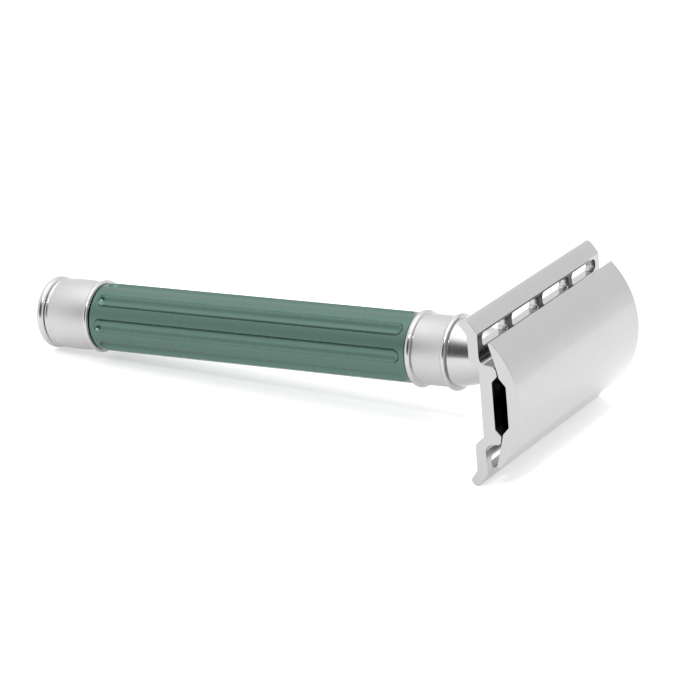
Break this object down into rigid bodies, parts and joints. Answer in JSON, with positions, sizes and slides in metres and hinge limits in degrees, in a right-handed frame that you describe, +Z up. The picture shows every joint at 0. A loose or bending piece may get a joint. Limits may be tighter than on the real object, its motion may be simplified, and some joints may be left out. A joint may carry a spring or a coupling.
{
  "type": "safety razor",
  "caption": "Double-edge safety razor lying down: arched cap, slotted base plate with safety bars, fluted green handle with bright end fittings; no blade fitted.",
  "frame": {"origin": "centre of the bounding box's footprint, on the table the razor lies on", "axes": "+X from the butt toward the head, along the table; +Y along the blade's length; +Z up. The handle's axis rises 4.4 degrees toward the head."},
  "size_m": [0.1026, 0.0426, 0.0269],
  "materials": {
    "cap_metal": "fine satin plating",
    "plate_metal": "fine satin plating",
    "neck_metal": "polished, with a satin collar",
    "butt_metal": "satin barrel with polished beads",
    "butt_cap_metal": "polished",
    "sleeve_anodised": "satin green anodising",
    "stud_metal": "machined thread",
    "pin_metal": "machined",
    "rod_metal": "plain drawn bar"
  },
  "bodies": {
    "plate": {"base_plate": "plate_metal"},
    "cap": {"cap": "cap_metal", "threaded_stud": "stud_metal", "locating_pin_left": "pin_metal", "locating_pin_right": "pin_metal"},
    "handle": {"neck_ferrule": "neck_metal", "handle_sleeve": "sleeve_anodised", "butt_ferrule": "butt_metal", "butt_cap": "butt_cap_metal", "tie_rod": "rod_metal"}
  },
  "joints": [
    {"name": "handle_turn", "type": "hinge", "parent": "plate", "child": "handle", "pos_m": [0.04426, 0, 0.01357], "axis": [-0.997, 0, -0.0772], "range_deg": [0, 3685]},
    {"name": "cap_lift", "type": "slide", "parent": "plate", "child": "cap", "axis": [0.997, 0, 0.0772], "range_m": [0, 0.0082]}
  ],
  "couplings": [
    {"joint": "cap_lift", "follows": "handle_turn", "m_per_rad": 0.00012732}
  ]
}
